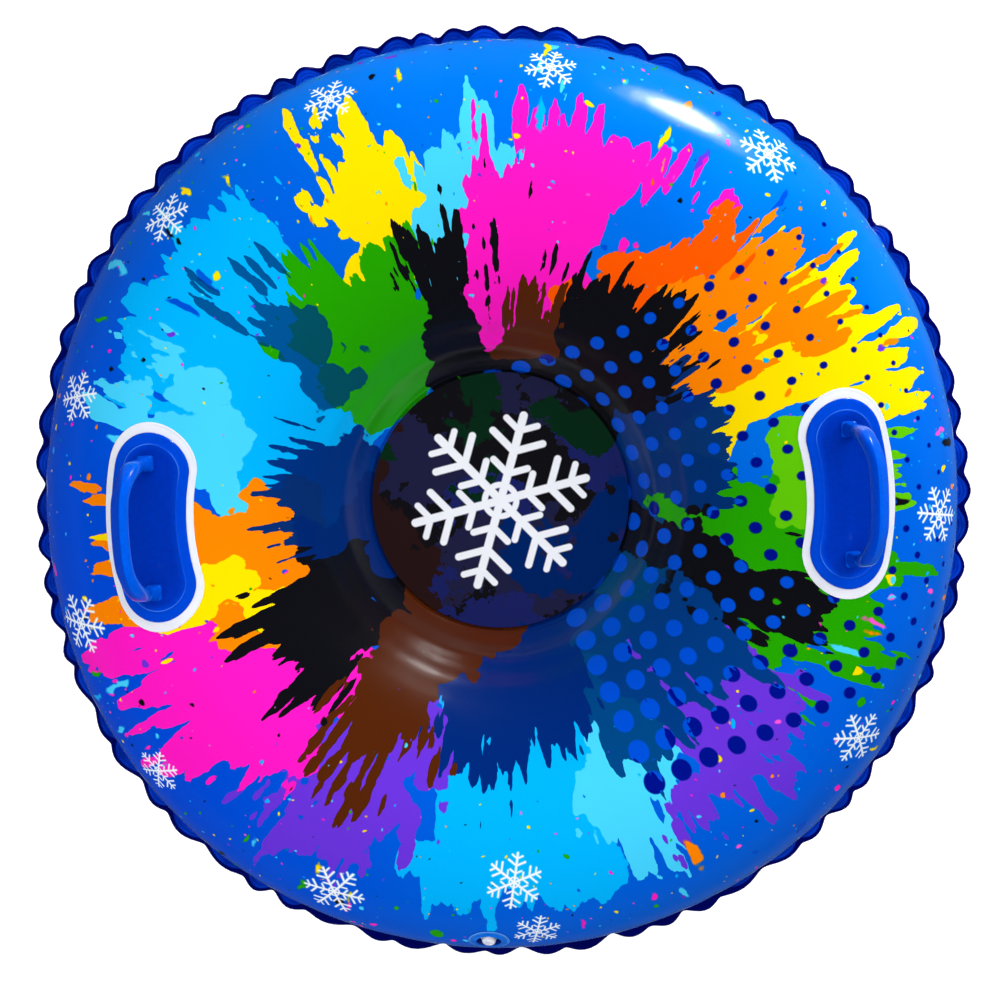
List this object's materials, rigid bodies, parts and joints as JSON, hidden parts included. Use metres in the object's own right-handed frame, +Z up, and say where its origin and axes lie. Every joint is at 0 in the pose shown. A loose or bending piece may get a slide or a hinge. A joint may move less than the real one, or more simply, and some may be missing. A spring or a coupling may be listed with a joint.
{
  "type": "snow tube",
  "caption": "Round inflated snow tube for sliding, with a flat seat in its middle, a welded wavy edge, moulded side grips and an air valve.",
  "frame": {"origin": "on the ground, under the middle of the tube as it lies flat", "axes": "+Z up, out of the seat; the grips lie on the X axis, the air valve near the -Y edge"},
  "size_m": [0.964, 0.964, 0.3226],
  "materials": {
    "printed_pvc": "glossy",
    "base_pvc": "glossy",
    "seat_pvc": "glossy",
    "white_pvc": "satin",
    "moulded_blue": "satin",
    "grip_blue": "glossy",
    "valve_blue": "glossy",
    "valve_white": "glossy"
  },
  "bodies": {
    "tube": {"top_sheet": "printed_pvc", "bottom_sheet": "base_pvc", "seat_panel": "seat_pvc", "left_handle_border": "white_pvc", "right_handle_border": "white_pvc", "left_handle_plate": "moulded_blue", "right_handle_plate": "moulded_blue", "valve_base": "valve_blue"},
    "left_grip": {"left_grip": "grip_blue"},
    "right_grip": {"right_grip": "grip_blue"},
    "valve_neck": {"valve_neck": "valve_white", "valve_tether": "valve_white"},
    "valve_plug": {"valve_plug": "valve_white"},
    "valve_flap": {"valve_flap": "valve_white"}
  },
  "joints": [
    {"name": "left_grip_tilt", "type": "hinge", "parent": "tube", "child": "left_grip", "pos_m": [-0.3367, 0, 0.26027], "axis": [0, -1, 0], "range_deg": [-40, 45], "stiffness_Nm_per_rad": 1.5},
    {"name": "right_grip_tilt", "type": "hinge", "parent": "tube", "child": "right_grip", "pos_m": [0.3367, 0, 0.26027], "axis": [0, 1, 0], "range_deg": [-40, 45], "stiffness_Nm_per_rad": 1.5},
    {"name": "valve_neck_slide", "type": "slide", "parent": "tube", "child": "valve_neck", "axis": [-0.0574, -0.7639, 0.6428], "range_m": [0, 0.01]},
    {"name": "valve_plug_pull", "type": "slide", "parent": "valve_neck", "child": "valve_plug", "axis": [-0.0574, -0.7639, 0.6428], "range_m": [0, 0.014], "deforming": ["valve_tether"]},
    {"name": "valve_flap_open", "type": "hinge", "parent": "valve_neck", "child": "valve_flap", "pos_m": [-0.03188, -0.42405, 0.1803], "axis": [-0.9972, 0.075, 0], "range_deg": [0, 45], "stiffness_Nm_per_rad": 0.0005}
  ]
}
